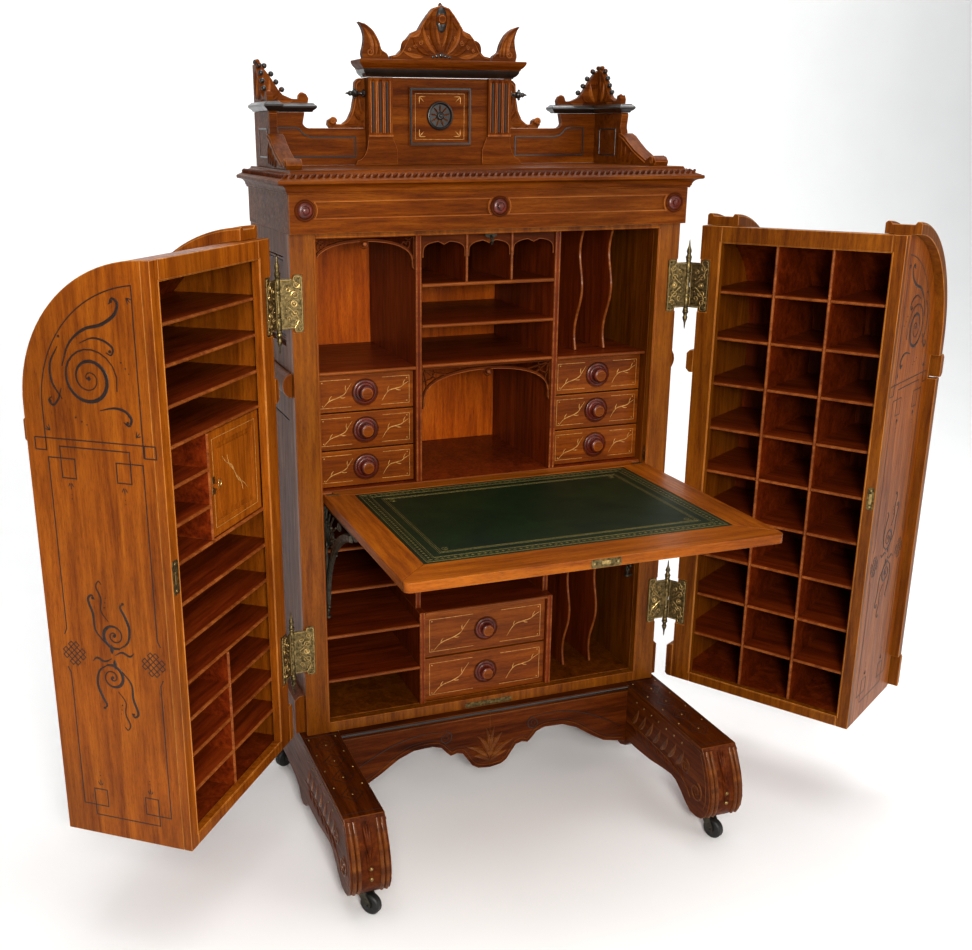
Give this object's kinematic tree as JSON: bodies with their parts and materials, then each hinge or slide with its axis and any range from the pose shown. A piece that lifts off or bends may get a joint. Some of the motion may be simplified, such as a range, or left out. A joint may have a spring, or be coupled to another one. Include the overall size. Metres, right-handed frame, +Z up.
{
  "type": "secretary desk",
  "caption": "Tall cabinet secretary on sled feet with two deep quarter-round doors of pigeonholes, a drop writing board and a galleried top.",
  "frame": {"origin": "on the floor, under the middle of the bounding box with the doors open and the board lowered; the desk's plane of symmetry is X = -0.0166 and the front of its case is Y = 0.0802", "axes": "+X to the desk's right-hand side as seen from the front, -Y out of the front, +Z up"},
  "size_m": [2.0568, 0.9645, 1.8863],
  "materials": {
    "case_wood": "satin",
    "door_wood": "satin",
    "inner_wood": "satin",
    "drawer_wood": "satin",
    "ebonised": "satin",
    "brass": "aged",
    "iron": "aged",
    "leather": "tooled"
  },
  "bodies": {
    "cabinet": {"case_shell": "case_wood", "face_frame": "case_wood", "side_mouldings": "case_wood", "frieze": "case_wood", "frieze_rosettes": "ebonised", "cornice": "case_wood", "partitions": "inner_wood", "shelves": "inner_wood", "pigeonholes": "inner_wood", "file_dividers": "inner_wood", "fretwork": "inner_wood", "gallery_walls": "case_wood", "gallery_block": "case_wood", "gallery_caps": "ebonised", "pilasters": "case_wood", "roundel": "case_wood", "crest": "case_wood", "acroteria": "case_wood", "corner_crests": "case_wood", "gallery_brackets": "case_wood", "sled_legs": "case_wood", "apron": "case_wood", "case_hinges": "brass", "case_brass": "brass"},
    "left_door": {"left_frame": "door_wood", "left_ends": "door_wood", "left_shell": "door_wood", "left_shelves": "inner_wood", "left_mouldings": "door_wood", "left_brass": "brass"},
    "cupboard_leaf": {"cupboard_door": "door_wood"},
    "right_door": {"right_frame": "door_wood", "right_ends": "door_wood", "right_shell": "door_wood", "right_grid": "inner_wood", "right_mouldings": "door_wood", "right_brass": "brass", "door_handle": "brass"},
    "writing_leaf": {"writing_board": "case_wood", "writing_leather": "leather", "board_lock": "brass"},
    "left_stay": {"left_bracket": "iron"},
    "right_stay": {"right_bracket": "iron"},
    "drawer_l1_box": {"drawer_l1": "drawer_wood"},
    "drawer_l2_box": {"drawer_l2": "drawer_wood"},
    "drawer_l3_box": {"drawer_l3": "drawer_wood"},
    "drawer_r1_box": {"drawer_r1": "drawer_wood"},
    "drawer_r2_box": {"drawer_r2": "drawer_wood"},
    "drawer_r3_box": {"drawer_r3": "drawer_wood"},
    "drawer_c1_box": {"drawer_c1": "drawer_wood"},
    "drawer_c2_box": {"drawer_c2": "drawer_wood"},
    "fork_fl": {"caster_fl": "iron"},
    "roller_fl": {"wheel_fl": "iron"},
    "fork_fr": {"caster_fr": "iron"},
    "roller_fr": {"wheel_fr": "iron"},
    "fork_rl": {"caster_rl": "iron"},
    "roller_rl": {"wheel_rl": "iron"},
    "fork_rr": {"caster_rr": "iron"},
    "roller_rr": {"wheel_rr": "iron"}
  },
  "joints": [
    {"name": "left_door_hinge", "type": "hinge", "parent": "cabinet", "child": "left_door", "pos_m": [-0.5046, 0.0802, 0.85], "axis": [0, 0, -1], "range_deg": [-43, 20]},
    {"name": "right_door_hinge", "type": "hinge", "parent": "cabinet", "child": "right_door", "pos_m": [0.4714, 0.0802, 0.85], "axis": [0, 0, 1], "range_deg": [-37, 26]},
    {"name": "cupboard_hinge", "type": "hinge", "parent": "left_door", "child": "cupboard_leaf", "pos_m": [-0.57785, 0.02818, 0.948], "axis": [0, 0, 1], "range_deg": [0, 90]},
    {"name": "writing_leaf_hinge", "type": "hinge", "parent": "cabinet", "child": "writing_leaf", "pos_m": [-0.0166, 0.0882, 0.819], "axis": [1, 0, 0], "range_deg": [-90, 0]},
    {"name": "left_stay_hinge", "type": "hinge", "parent": "cabinet", "child": "left_stay", "pos_m": [-0.4086, 0.1162, 0.68], "axis": [0, 0, -1], "range_deg": [-90, 0]},
    {"name": "right_stay_hinge", "type": "hinge", "parent": "cabinet", "child": "right_stay", "pos_m": [0.3754, 0.1162, 0.68], "axis": [0, 0, 1], "range_deg": [-90, 0]},
    {"name": "drawer_l1_slide", "type": "slide", "parent": "cabinet", "child": "drawer_l1_box", "axis": [0, -1, 0], "range_m": [0, 0.15]},
    {"name": "drawer_l2_slide", "type": "slide", "parent": "cabinet", "child": "drawer_l2_box", "axis": [0, -1, 0], "range_m": [0, 0.15]},
    {"name": "drawer_l3_slide", "type": "slide", "parent": "cabinet", "child": "drawer_l3_box", "axis": [0, -1, 0], "range_m": [0, 0.15]},
    {"name": "drawer_r1_slide", "type": "slide", "parent": "cabinet", "child": "drawer_r1_box", "axis": [0, -1, 0], "range_m": [0, 0.15]},
    {"name": "drawer_r2_slide", "type": "slide", "parent": "cabinet", "child": "drawer_r2_box", "axis": [0, -1, 0], "range_m": [0, 0.15]},
    {"name": "drawer_r3_slide", "type": "slide", "parent": "cabinet", "child": "drawer_r3_box", "axis": [0, -1, 0], "range_m": [0, 0.15]},
    {"name": "drawer_c1_slide", "type": "slide", "parent": "cabinet", "child": "drawer_c1_box", "axis": [0, -1, 0], "range_m": [0, 0.2]},
    {"name": "drawer_c2_slide", "type": "slide", "parent": "cabinet", "child": "drawer_c2_box", "axis": [0, -1, 0], "range_m": [0, 0.2]},
    {"name": "swivel_fl", "type": "hinge", "parent": "cabinet", "child": "fork_fl", "pos_m": [-0.4446, -0.2598, 0.055], "axis": [0, 0, 1], "continuous": true},
    {"name": "roll_fl", "type": "hinge", "parent": "fork_fl", "child": "roller_fl", "pos_m": [-0.43256, -0.27577, 0.024], "axis": [0.7986, 0.6018, 0], "continuous": true},
    {"name": "swivel_fr", "type": "hinge", "parent": "cabinet", "child": "fork_fr", "pos_m": [0.4114, -0.2598, 0.055], "axis": [0, 0, 1], "continuous": true},
    {"name": "roll_fr", "type": "hinge", "parent": "fork_fr", "child": "roller_fr", "pos_m": [0.41824, -0.27859, 0.024], "axis": [0.9397, 0.342, 0], "continuous": true},
    {"name": "swivel_rl", "type": "hinge", "parent": "cabinet", "child": "fork_rl", "pos_m": [-0.4526, 0.3982, 0.055], "axis": [0, 0, 1], "continuous": true},
    {"name": "roll_rl", "type": "hinge", "parent": "fork_rl", "child": "roller_rl", "pos_m": [-0.47073, 0.38975, 0.024], "axis": [0.4226, -0.9063, 0], "continuous": true},
    {"name": "swivel_rr", "type": "hinge", "parent": "cabinet", "child": "fork_rr", "pos_m": [0.4194, 0.3982, 0.055], "axis": [0, 0, 1], "continuous": true},
    {"name": "roll_rr", "type": "hinge", "parent": "fork_rr", "child": "roller_rr", "pos_m": [0.4294, 0.41552, 0.024], "axis": [-0.866, 0.5, 0], "continuous": true}
  ]
}
